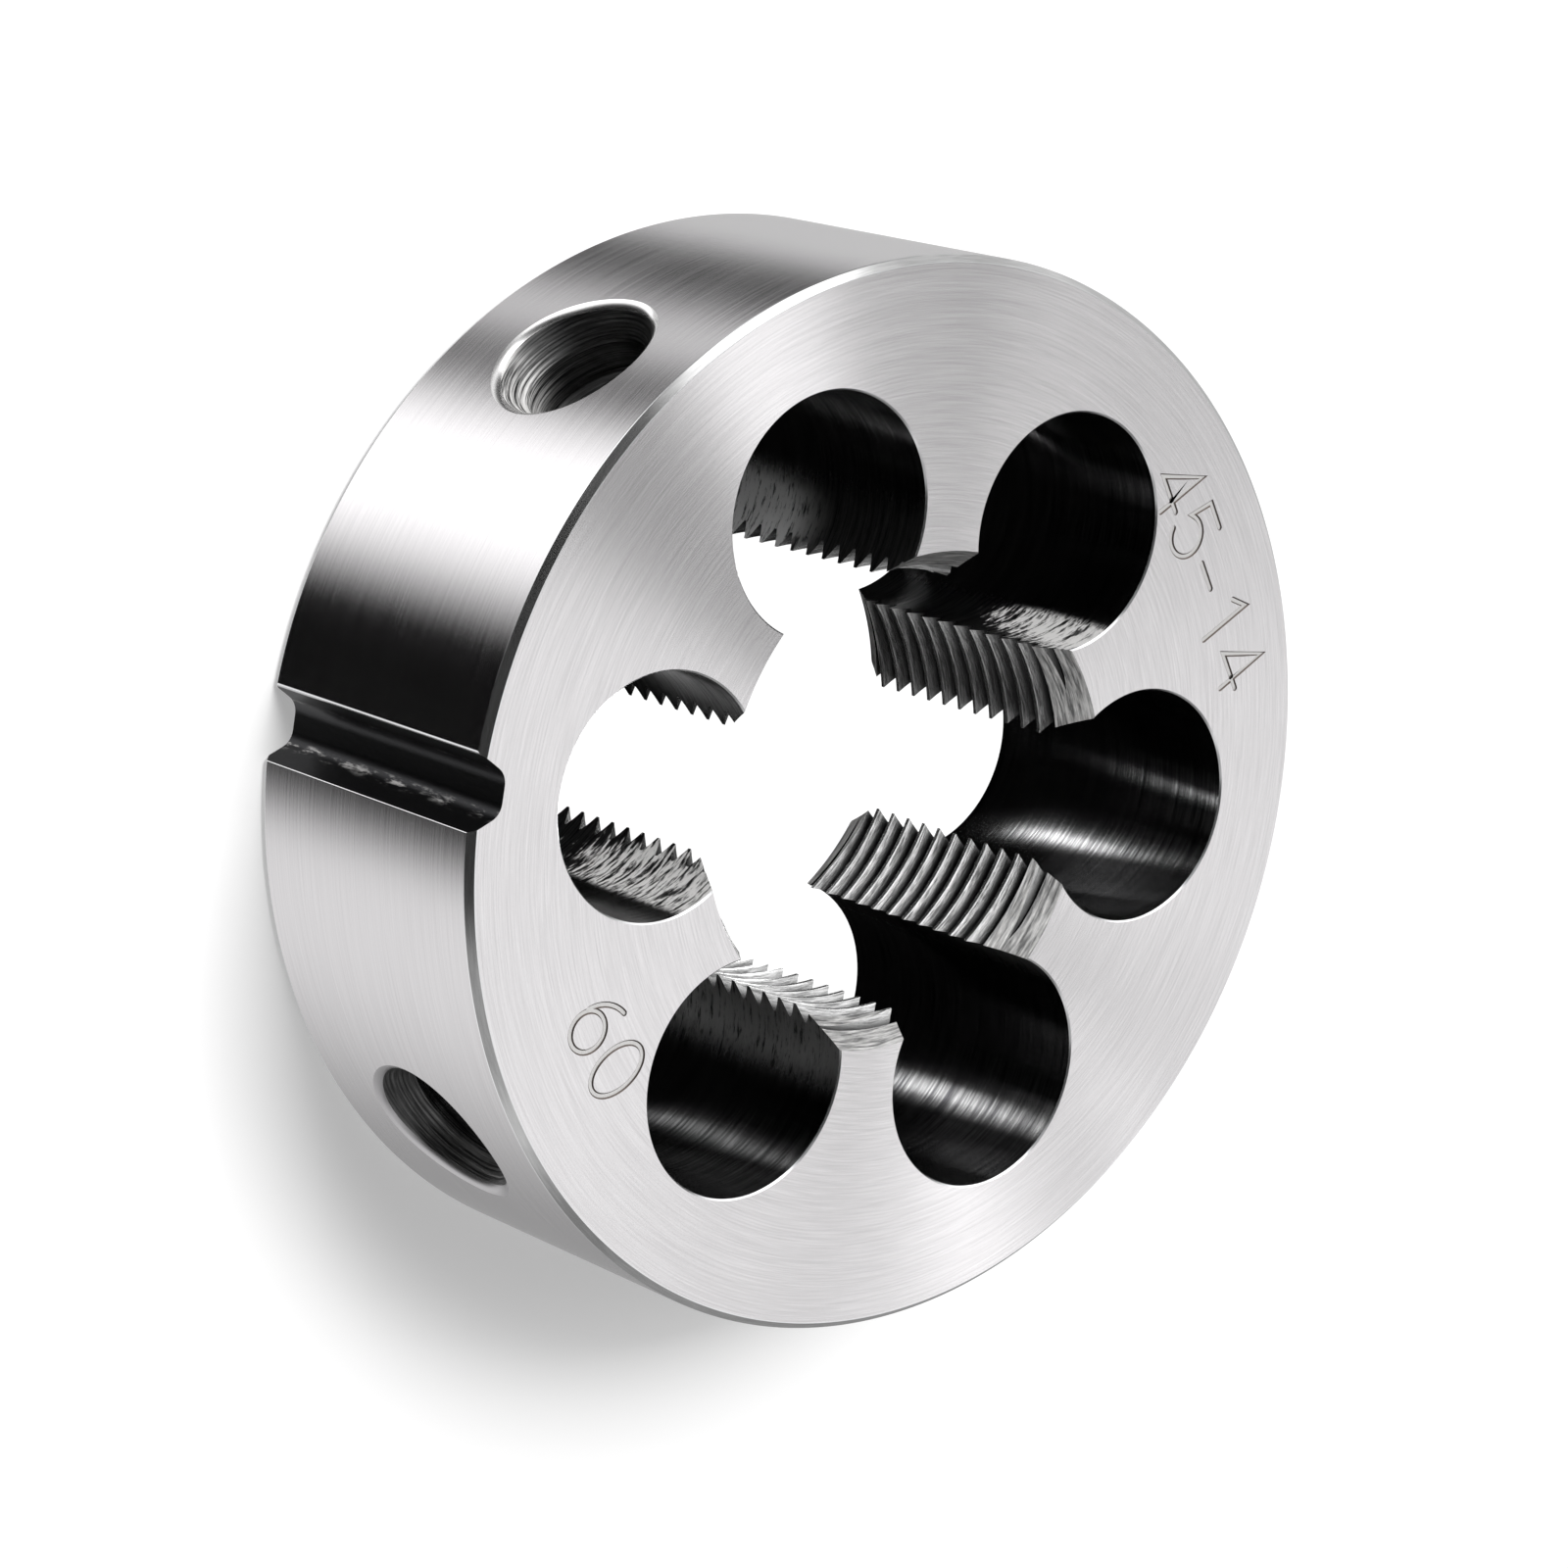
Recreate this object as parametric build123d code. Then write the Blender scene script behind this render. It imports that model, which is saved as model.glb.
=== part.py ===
from build123d import *
from math import ceil, radians, tan
import os

# Round threading die: one disc of hardened high-speed steel. It lies on its back face, at z = 0,
# with its lead-in face up and its axis on Z. The clamping groove points along -X.

# Blank, turned and ground
outer_diameter = 45.0
thickness = 14.0
edge_chamfer = 0.3

# Thread that the die cuts, right-handed, and the height at which its first groove passes +X
thread_diameter = 20.0
thread_pitch = 1.0
thread_angle = 60.0
thread_rise = 0.15

# Flutes, bored through between the cutting lands
flute_count = 6
flute_diameter = 10.12
flute_offset = 3.32

# Lead-in taper at both faces, where each land starts to cut
lead_angle = 30.0
lead_margin = 0.5
lead_relief = 1.0

# Groove across the rim, for the holder's middle screw
groove_angle = 60.0
groove_floor = 1.6
groove_depth = 1.35
groove_corner = 0.8
groove_edge_round = 0.12

# Dimples in the rim, for the holder's side screws, and their turn from the groove
dimple_turns = (-47.2, 43.4)
dimple_mouth = 7.2
dimple_angle = 70.0
dimple_bore = 5.2
dimple_straight = 1.6
drill_point_angle = 140.0
dimple_edge_round = 0.5

# How far a cutting tool runs past the surface that it cuts
runout = 1.0

outer_radius = outer_diameter / 2
flute_radius = flute_diameter / 2
land_turn = 360 / flute_count
half_land_turn = land_turn / 2
groove_turn = 180.0

# The groove of the thread is a sharp V, cut off flat at an eighth of the pitch. The teeth
# between its turns reach in to the root of the screw, 17/24 of the sharp height.
flank_slope = tan(radians(thread_angle / 2))
sharp_height = thread_pitch / 2 / flank_slope
root_radius = thread_diameter / 2
root_half_width = thread_pitch / 16
crest_radius = root_radius - sharp_height * 17 / 24
flute_centre = root_radius + flute_offset
lead_mouth = root_radius + lead_margin

standing = (Align.CENTER, Align.CENTER, Align.MIN)


def turned_blank():
    """The disc with both outer edges chamfered."""
    disc = Cylinder(outer_radius, thickness, align=standing)
    return chamfer(disc.edges().filter_by(GeomType.CIRCLE), edge_chamfer)


def clamping_groove():
    """The V groove with a flat floor and rounded corners, along the rim at +X."""
    floor = outer_radius - groove_depth
    reach = outer_radius + runout
    half_floor = groove_floor / 2
    half_reach = half_floor + (reach - floor) * tan(radians(groove_angle / 2))
    outline = Polyline(
        (reach, -half_reach), (floor, -half_floor), (floor, half_floor), (reach, half_reach), close=True
    )
    section = make_face(outline)
    section = fillet(section.vertices().sort_by(Axis.X)[:2], groove_corner)
    return extrude(section, thickness)


def screw_dimple():
    """A tapered seat that narrows to a short drilled hole, from the rim at +X towards the axis."""
    mouth = dimple_mouth / 2
    bore = dimple_bore / 2
    slope = tan(radians(dimple_angle / 2))
    taper_end = (mouth - bore) / slope
    straight_end = taper_end + dimple_straight
    tip = straight_end + bore / tan(radians(drill_point_angle / 2))
    profile = Polyline(
        (0, runout), (mouth + runout * slope, runout), (bore, -taper_end), (bore, -straight_end), (0, -tip),
        close=True,
    )
    seat = revolve(Plane.XZ * make_face(profile), Axis.Z)
    return Pos(outer_radius, 0, thickness / 2) * Rot(0, 90, 0) * seat


def lead_taper():
    """The taper of one land, the land on +X and the top face. Its cone stands off the die's axis
    towards the heel of the land, so that the steel falls away behind the cutting edge."""
    slope = tan(radians(lead_angle))
    depth = (lead_mouth - crest_radius) / slope + thread_pitch
    cone = Cone(lead_mouth - depth * slope, lead_mouth + runout * slope, depth + runout, align=standing)
    far = outer_radius + runout
    corner = Vector(far, 0)
    land = make_face(
        Polyline((0, 0), corner.rotate(Axis.Z, -half_land_turn), corner.rotate(Axis.Z, half_land_turn), close=True)
    )
    return Pos(0, 0, thickness - depth) * (Pos(0, -lead_relief, 0) * cone & extrude(land, depth + runout))


def thread_groove():
    """The groove of the thread across one land, as a stretch of the helix that starts on +X."""
    overlap = crest_radius - thread_pitch / 16
    half_width = root_half_width + (root_radius - overlap) * flank_slope
    outline = Polyline(
        (overlap, -half_width), (root_radius, -root_half_width),
        (root_radius, root_half_width), (overlap, half_width),
        close=True,
    )
    path = Helix(thread_pitch, thread_pitch / flute_count, crest_radius)
    return sweep(Plane.XZ * make_face(outline), path=path, is_frenet=True)


def threading_die():
    """The blank with its groove, dimples, bore, flutes, lead-in tapers and thread."""
    die = turned_blank() - Rot(0, 0, groove_turn) * clamping_groove()
    die = fillet(die.edges().filter_by(Axis.Z).sort_by(Axis.X)[:2], groove_edge_round)
    for turn in dimple_turns:
        seat = Rot(0, 0, groove_turn + turn) * screw_dimple()
        bored = die - seat
        die = fillet(new_edges(die, seat, combined=bored), dimple_edge_round)

    die -= Cylinder(crest_radius, thickness, align=standing)
    die -= PolarLocations(flute_centre, flute_count) * Cylinder(flute_radius, thickness, align=standing)

    turned_over = Pos(0, 0, thickness) * Rot(180, 0, 0)
    for land in range(flute_count):
        taper = Rot(0, 0, (land + 0.5) * land_turn) * lead_taper()
        die -= [taper, turned_over * taper]

    groove = thread_groove()
    turns = ceil(thickness / thread_pitch) + 2
    grooves = []
    for land in range(flute_count):
        for turn in range(-1, turns - 1):
            rise = thread_rise + (turn + land / flute_count) * thread_pitch
            grooves.append(Pos(0, 0, rise) * Rot(0, 0, land * land_turn) * groove)
    return die - grooves


os.makedirs("parts", exist_ok=True)
export_step(threading_die(), "parts/threading_die.step")
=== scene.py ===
from math import acos, atan2, ceil, cos, hypot, pi, radians, sin, sqrt, tan

import bmesh
import bpy
import numpy as np
from mathutils import Matrix, Vector


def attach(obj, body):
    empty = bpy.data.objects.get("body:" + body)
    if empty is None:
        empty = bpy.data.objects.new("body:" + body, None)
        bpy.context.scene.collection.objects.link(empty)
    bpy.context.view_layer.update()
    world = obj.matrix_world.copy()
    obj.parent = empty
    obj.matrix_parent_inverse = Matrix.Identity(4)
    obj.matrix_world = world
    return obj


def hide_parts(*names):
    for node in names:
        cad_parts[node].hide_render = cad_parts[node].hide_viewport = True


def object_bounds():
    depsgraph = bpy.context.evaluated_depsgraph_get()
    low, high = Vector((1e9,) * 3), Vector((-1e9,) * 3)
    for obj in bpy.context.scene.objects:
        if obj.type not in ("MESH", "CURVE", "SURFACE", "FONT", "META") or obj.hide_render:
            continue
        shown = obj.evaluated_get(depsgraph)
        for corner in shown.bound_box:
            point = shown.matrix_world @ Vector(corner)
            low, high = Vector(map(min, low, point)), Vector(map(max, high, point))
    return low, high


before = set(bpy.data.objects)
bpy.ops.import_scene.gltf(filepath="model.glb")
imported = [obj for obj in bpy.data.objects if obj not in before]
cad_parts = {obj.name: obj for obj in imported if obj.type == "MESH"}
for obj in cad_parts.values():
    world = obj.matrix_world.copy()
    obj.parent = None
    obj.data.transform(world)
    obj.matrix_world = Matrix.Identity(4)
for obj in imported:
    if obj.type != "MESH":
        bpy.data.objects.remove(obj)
cad_low, cad_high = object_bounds()

# The blank is one disc of high-speed steel, turned, hardened and then ground on both faces and
# round the rim. It is built here in millimetres, cut by one tool after another, and brought to
# metres after the last cut.
mm = 0.001
outer_radius = cad_high.x / mm
thickness = (cad_high.z - cad_low.z) / mm
edge_chamfer = 0.3
edge_break = 0.03
crest_radius = 9.387
turning_steps = 720
quarter_turn = 0.25


def in_use(sockets, name):
    """One socket of a node, by its place or by its name among those in use."""
    if isinstance(name, int):
        return sockets[name]
    return next(socket for socket in sockets if socket.enabled and socket.name == name)


def first_node(tree, kind):
    """The node of one type that a new tree starts with."""
    return next(node for node in tree.nodes if node.type == kind)


def grey(level):
    """A plain colour between black, 0, and white, 1."""
    return (level, level, level, 1)


class Wire:
    """A socket of a node tree. Python's sums on it add Math nodes, and node() adds any other node."""

    def __init__(self, tree, socket=None):
        self.tree = tree
        self.socket = socket

    def node(self, kind, settings=None, inputs=None, output=0):
        """Adds a node, sets it up and then feeds its inputs with values or wires."""
        made = self.tree.nodes.new(kind)
        for name, value in (settings or {}).items():
            setattr(made, name, value)
        for name, value in (inputs or {}).items():
            self.feed(in_use(made.inputs, name), value)
        if not made.outputs:
            return made
        return Wire(self.tree, in_use(made.outputs, output))

    def feed(self, socket, value):
        if isinstance(value, Wire):
            self.tree.links.new(value.socket, socket)
        else:
            socket.default_value = value

    def sum(self, operation, first, second=0.0):
        return self.node("ShaderNodeMath", {"operation": operation}, {0: first, 1: second})

    def __add__(self, other):
        return self.sum("ADD", self, other)

    __radd__ = __add__

    def __sub__(self, other):
        return self.sum("SUBTRACT", self, other)

    def __rsub__(self, other):
        return self.sum("SUBTRACT", other, self)

    def __mul__(self, other):
        return self.sum("MULTIPLY", self, other)

    __rmul__ = __mul__

    def __truediv__(self, other):
        return self.sum("DIVIDE", self, other)

    def __rtruediv__(self, other):
        return self.sum("DIVIDE", other, self)

    def __pow__(self, other):
        return self.sum("POWER", self, other)

    def __abs__(self):
        return self.sum("ABSOLUTE", self)

    def root(self):
        return self.sum("SQRT", self)

    def ramp(self, start, end):
        """0 up to start, 1 past end, and a soft rise between them."""
        settings = {"interpolation_type": "SMOOTHSTEP"}
        inputs = {"Value": self, "From Min": start, "From Max": end}
        return self.node("ShaderNodeMapRange", settings, inputs)

    def contrast(self, gain, middle=0.5):
        """Noise, which lies round 0.5, spread out by gain round another middle."""
        return (self - 0.5) * gain + middle

    def parts(self):
        """The x, y and z of a vector."""
        outputs = self.node("ShaderNodeSeparateXYZ", inputs={"Vector": self}).socket.node.outputs
        return [Wire(self.tree, outputs[name]) for name in ("X", "Y", "Z")]


class Steel:
    """One finish of the die: a metal material with the sums that its pattern is made from. Its x, y
    and z are in millimetres, and brushed is how far a highlight is drawn out across the grain."""

    def __init__(self, name, color, roughness, brushed=0.0, polish=1.0):
        self.material = bpy.data.materials.new(name)
        self.material.use_nodes = True
        self.tree = self.material.node_tree
        self.shader = first_node(self.tree, "BSDF_PRINCIPLED")
        self.shader.inputs["Base Color"].default_value = color
        self.shader.inputs["Metallic"].default_value = polish
        self.shader.inputs["Roughness"].default_value = roughness
        self.shader.inputs["Anisotropic"].default_value = brushed
        self.shader.inputs["Anisotropic Rotation"].default_value = quarter_turn
        self.wire = Wire(self.tree)
        place = self.wire.node("ShaderNodeTexCoord", output="Object")
        self.x, self.y, self.z = [axis / mm for axis in place.parts()]
        self.radius = (self.x * self.x + self.y * self.y).root()

    def noise(self, x, y, z, detail=2.0, rough=0.5):
        """Noise at a place, from 0 to 1. A factor on x, y or z makes it finer along that axis."""
        place = self.wire.node("ShaderNodeCombineXYZ", inputs={"X": x, "Y": y, "Z": z})
        inputs = {"Vector": place, "Scale": 1.0, "Detail": detail, "Roughness": rough}
        return self.wire.node("ShaderNodeTexNoise", inputs=inputs)

    def tint(self, share, dark, light):
        """The dark colour where share is 0 and the light one where it is 1."""
        inputs = {"Factor": share, "A": dark, "B": light}
        return self.wire.node("ShaderNodeMix", {"data_type": "RGBA"}, inputs, "Result")

    def bump(self, height, depth):
        """Gives the surface a relief, whose depth is in millimetres."""
        inputs = {"Height": height, "Distance": depth * mm, "Strength": 1.0}
        normal = self.wire.node("ShaderNodeBump", inputs=inputs)
        self.wire.feed(self.shader.inputs["Normal"], normal)

    def color(self, value):
        self.wire.feed(self.shader.inputs["Base Color"], value)

    def roughness(self, value):
        self.wire.feed(self.shader.inputs["Roughness"], value)

    def polish(self, value):
        """1 where the steel only mirrors, less where it is scratched and scatters light."""
        self.wire.feed(self.shader.inputs["Metallic"], value)


def ring_lines(steel, across, spread, spacing):
    """Fine lines round the axis: they change every `spacing` mm across and slowly along the turn."""
    cosine = steel.x / steel.radius
    sine = steel.y / steel.radius
    return steel.noise(cosine * spread, sine * spread, across * (1 / spacing))


ground_face = Steel("ground_face", grey(0.66), 0.22, brushed=1.0)
face_lines = ring_lines(ground_face, ground_face.radius, 6.0, 0.07)
face_sheen = ring_lines(ground_face, ground_face.radius, 2.0, 0.6)
face_dark = (0.71, 0.695, 0.705, 1)
face_light = (0.90, 0.885, 0.895, 1)
ground_face.color(ground_face.tint(face_lines.contrast(1.5), face_dark, face_light))
ground_face.roughness(0.20 + face_sheen * 0.05)
ground_face.bump(face_lines, 0.002)

ground_rim = Steel("ground_rim", grey(0.66), 0.24, brushed=0.9)
rim_lines = ring_lines(ground_rim, ground_rim.z, 3.0, 0.08)
rim_dark = (0.61, 0.595, 0.605, 1)
rim_light = (0.75, 0.735, 0.745, 1)
ground_rim.color(ground_rim.tint(rim_lines.contrast(1.4), rim_dark, rim_light))
ground_rim.roughness(0.14 + rim_lines * 0.10)
ground_rim.bump(rim_lines, 0.003)

turned_edge = Steel("turned_edge", grey(0.5), 0.20, brushed=0.6)
edge_lines = ring_lines(turned_edge, turned_edge.z, 20.0, 0.08)
turned_edge.color(turned_edge.tint(edge_lines, grey(0.45), grey(0.72)))
turned_edge.bump(edge_lines, 0.002)

bright_edge = Steel("bright_edge", (0.80, 0.80, 0.81, 1), 0.22)


def swept(name, sections, closes, finishes):
    """A solid whose skin joins each closed section to the next. It has a flat cap at either end
    unless it closes on itself. finishes gives the material of each side of the section."""
    size = len(sections[0])
    count = len(sections)
    used = list(dict.fromkeys(finishes))
    faces = []
    slots = []
    for here in range(count if closes else count - 1):
        there = (here + 1) % count
        for side in range(size):
            after = (side + 1) % size
            faces.append((here * size + side, there * size + side,
                          there * size + after, here * size + after))
            slots.append(used.index(finishes[side]))
    if not closes:
        faces.append(tuple(range(size)))
        faces.append(tuple(range((count - 1) * size, count * size)))
        slots += [0, 0]
    mesh = bpy.data.meshes.new(name)
    mesh.from_pydata([point for section in sections for point in section], [], faces)
    mesh.polygons.foreach_set("material_index", slots)
    for steel in used:
        mesh.materials.append(steel.material)
    return closed_solid(name, mesh)


def closed_solid(name, mesh):
    """Merges what meets, turns the faces outwards and links the mesh as an object."""
    shape = bmesh.new()
    shape.from_mesh(mesh)
    bmesh.ops.remove_doubles(shape, verts=shape.verts, dist=1e-6)
    bmesh.ops.recalc_face_normals(shape, faces=shape.faces)
    shape.to_mesh(mesh)
    shape.free()
    made = bpy.data.objects.new(name, mesh)
    bpy.context.scene.collection.objects.link(made)
    return made


def keep_shading(solid, sense):
    """Stores how each corner shades, so that the cut die stays as smooth as the tool that cut it.
    Wide faces set the shading, and the narrow ones beside them bend to it."""
    mesh = solid.data
    mesh.polygons.foreach_set("use_smooth", [True] * len(mesh.polygons))
    mesh.set_sharp_from_angle(angle=radians(20))
    weighting = solid.modifiers.new("weighted", "WEIGHTED_NORMAL")
    weighting.mode = "FACE_AREA"
    weighting.keep_sharp = True
    shown = bpy.context.evaluated_depsgraph_get()
    normals = np.zeros(len(mesh.loops) * 3, np.float32)
    solid.evaluated_get(shown).data.corner_normals.foreach_get("vector", normals)
    solid.modifiers.remove(weighting)
    stored = mesh.attributes.new("shading", "FLOAT_VECTOR", "CORNER")
    stored.data.foreach_set("vector", normals * sense)


def turned(outline, steps, first=0.0, span=360.0, centre=(0.0, 0.0)):
    """Sections of an outline of (radius, height) points, turned about an upright axis."""
    count = steps if span == 360.0 else steps + 1
    sections = []
    for step in range(count):
        turn = radians(first + span * step / steps)
        sections.append([(centre[0] + radius * cos(turn), centre[1] + radius * sin(turn), height)
                         for radius, height in outline])
    return sections


chamfer_start = outer_radius - edge_chamfer
blank_outline = [
    (crest_radius, 0),
    (chamfer_start - edge_break, 0),
    (chamfer_start + edge_break / 2, edge_break / 2),
    (outer_radius - edge_break / 2, edge_chamfer - edge_break / 2),
    (outer_radius, edge_chamfer + edge_break),
    (outer_radius, thickness - edge_chamfer - edge_break),
    (outer_radius - edge_break / 2, thickness - edge_chamfer + edge_break / 2),
    (chamfer_start + edge_break / 2, thickness - edge_break / 2),
    (chamfer_start - edge_break, thickness),
    (crest_radius, thickness),
]

# The six flutes are bored right through between the cutting lands. They carry chips away and give
# each land its cutting edge. Their walls keep the dark skin of the hardening over the boring marks,
# and a fine break round each mouth is bright.
flute_count = 6
flute_radius = 5.06
flute_centre = 13.32
mouth_break = 0.07
runout = 1.0

flute_wall = Steel("flute_wall", grey(0.10), 0.22, brushed=0.85)
marks = flute_wall.noise(flute_wall.x * 0.3, flute_wall.y * 0.3, flute_wall.z * 7.0, detail=4.0, rough=0.65)
skin = flute_wall.noise(flute_wall.x * 0.8, flute_wall.y * 0.8, flute_wall.z * 0.5, detail=3.0)
strokes = flute_wall.noise(flute_wall.x * 0.9, flute_wall.y * 0.9, flute_wall.z * 6.0, detail=5.0, rough=0.75)

# Beside the teeth the walls were dressed with a stone, up to a frayed edge round this radius.
dressed_radius = 12.3
dressed_fade = 0.9
frayed = flute_wall.radius + (strokes - 0.5) * 2.4
dressed = 1 - frayed.ramp(dressed_radius - dressed_fade, dressed_radius + dressed_fade)

# Spots where the stone reached bare steel, and spots of painted sheen, where the skin is painted a lighter
# grey: x, y and z of each, how quickly it fades along the flute, and how strong it is.
stoned_spots = ((9.6, 7.4, 14.0, 0.42, 1.0), (-10.6, -4.2, 12.8, 0.35, 0.92))
painted_sheen_spots = ((-2.6, 10.4, 2.5, 0.6, 1.3), (-1.8, -10.2, 8.0, 0.35, 0.5))
spot_core = 1.6
spot_reach = 4.0


def near_spots(places):
    """How near the wall lies to the given spots, added up."""
    total = 0.0
    for x, y, z, fade, strength in places:
        sunk = (flute_wall.z - z) * fade
        away = ((flute_wall.x - x) ** 2 + (flute_wall.y - y) ** 2 + sunk * sunk).root()
        total = (1 - away.ramp(spot_core, spot_reach)) * strength + total
    return total


bare_strokes = (strokes - 0.75 + near_spots(stoned_spots) * 0.3).ramp(-0.03, 0.04)
scratched = (1 - frayed.ramp(dressed_radius, dressed_radius + 0.4)) * bare_strokes
# At the sheen spots the skin is painted a lighter grey and mirrors less: a painted sheen.
painted_sheen = dressed * near_spots(painted_sheen_spots) * strokes.ramp(0.36, 0.50)
dark_skin = flute_wall.tint(marks.contrast(3.0), (0.025, 0.025, 0.027, 1), grey(0.16))
skin_and_painted_sheen = flute_wall.tint(painted_sheen, dark_skin, grey(0.75))
flute_wall.color(flute_wall.tint(scratched, skin_and_painted_sheen, (0.90, 0.89, 0.88, 1)))
flute_wall.roughness(0.15 + skin * 0.08 + dressed * 0.2)
flute_wall.polish(1 - flute_wall.wire.sum("MAXIMUM", scratched * 0.9, painted_sheen * 0.7))
flute_wall.bump(marks + strokes * dressed * 2.0, 0.010)


def made_real(solid, tree, values):
    """Runs a Geometry Nodes tree on an object, keeps the mesh that it makes and drops the modifier."""
    modifier = solid.modifiers.new(tree.name, "NODES")
    modifier.node_group = tree
    for socket, value in values.items():
        modifier[socket.identifier] = value
    shown = bpy.context.evaluated_depsgraph_get()
    mesh = bpy.data.meshes.new_from_object(solid.evaluated_get(shown))
    solid.modifiers.remove(modifier)
    solid.data = mesh
    return solid


def indexed(cutter, count, turn_between):
    """Copies a cutter round the die's axis in Geometry Nodes, as a dividing head would."""
    tree = bpy.data.node_groups.new("indexed_round", "GeometryNodeTree")
    face = tree.interface
    face.new_socket("Geometry", in_out="INPUT", socket_type="NodeSocketGeometry")
    count_socket = face.new_socket("Count", in_out="INPUT", socket_type="NodeSocketInt")
    turn_socket = face.new_socket("Turn between", in_out="INPUT", socket_type="NodeSocketFloat")
    wall_socket = face.new_socket("Wall", in_out="INPUT", socket_type="NodeSocketMaterial")
    break_socket = face.new_socket("Break", in_out="INPUT", socket_type="NodeSocketMaterial")
    face.new_socket("Geometry", in_out="OUTPUT", socket_type="NodeSocketGeometry")
    wire = Wire(tree)
    given = tree.nodes.new("NodeGroupInput")
    named = {socket.name: Wire(tree, socket) for socket in given.outputs if socket.name}
    places = wire.node("GeometryNodeMeshLine", inputs={"Count": named["Count"], "Offset": (0, 0, 0)})
    index = wire.node("GeometryNodeInputIndex")
    turn = wire.node("ShaderNodeCombineXYZ", inputs={"Z": index * named["Turn between"]})
    rotation = wire.node("FunctionNodeEulerToRotation", inputs={"Euler": turn})
    copies = wire.node("GeometryNodeInstanceOnPoints", inputs={
        "Points": places, "Instance": named["Geometry"], "Rotation": rotation})
    real = wire.node("GeometryNodeRealizeInstances", inputs={"Geometry": copies})
    walls = wire.node("GeometryNodeSetMaterial", inputs={"Geometry": real, "Material": named["Wall"]})
    upright = wire.node("GeometryNodeInputNormal").parts()[2]
    tilted = wire.node("FunctionNodeCompare", {"operation": "GREATER_THAN"}, {"A": abs(upright), "B": 0.3})
    breaks = wire.node("GeometryNodeSetMaterial", inputs={
        "Geometry": walls, "Selection": tilted, "Material": named["Break"]})
    wire.node("NodeGroupOutput", inputs={"Geometry": breaks})
    values = {count_socket: count, turn_socket: turn_between,
              wall_socket: flute_wall.material, break_socket: bright_edge.material}
    return made_real(cutter, tree, values)


flute_outline = [
    (0, -runout),
    (flute_radius + runout + mouth_break, -runout),
    (flute_radius, mouth_break),
    (flute_radius, thickness - mouth_break),
    (flute_radius + runout + mouth_break, thickness + runout),
    (0, thickness + runout),
]
flute_turn = 2 * pi / flute_count
flute_steps = 180
flutes = swept("flutes", turned(flute_outline, flute_steps, centre=(flute_centre, 0.0)), True,
               [flute_wall] * len(flute_outline))
flutes = indexed(flutes, flute_count, flute_turn)

# The thread is cut from end to end by one tap-shaped tool, so that it runs on from land to land.
# It is right-handed, with flanks at 60 degrees, and stays brighter than the flutes.
thread_pitch = 1.0
thread_rise = 0.15
root_radius = 10.0
flank_slope = tan(radians(30))
steps_per_turn = 360

tooth = Steel("tooth", grey(0.45), 0.26, polish=0.9)
drag = tooth.noise(tooth.x * 0.9, tooth.y * 0.9, tooth.z * 9.0 + tooth.radius * 5.0, detail=4.0, rough=0.7)
# The flanks are painted darker the deeper they sink towards the root, as painted shade in the thread's
# groove, and each crest gets a painted highlight.
sunk = (tooth.radius - crest_radius) / (root_radius - crest_radius)
flank_painted_by_depth = 1 - (sunk + (drag - 0.5) * 0.8).ramp(0.15, 1.0)
painted_crest_highlight = 1 - sunk.ramp(0.02, 0.12)
tooth_grain_and_painted_light = flank_painted_by_depth * (drag.ramp(0.30, 0.70) * 0.62 + 0.10) + painted_crest_highlight * 0.22
tooth.color(tooth.tint(tooth_grain_and_painted_light, grey(0.04), grey(0.85)))
tooth.bump(drag, 0.012)


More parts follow.
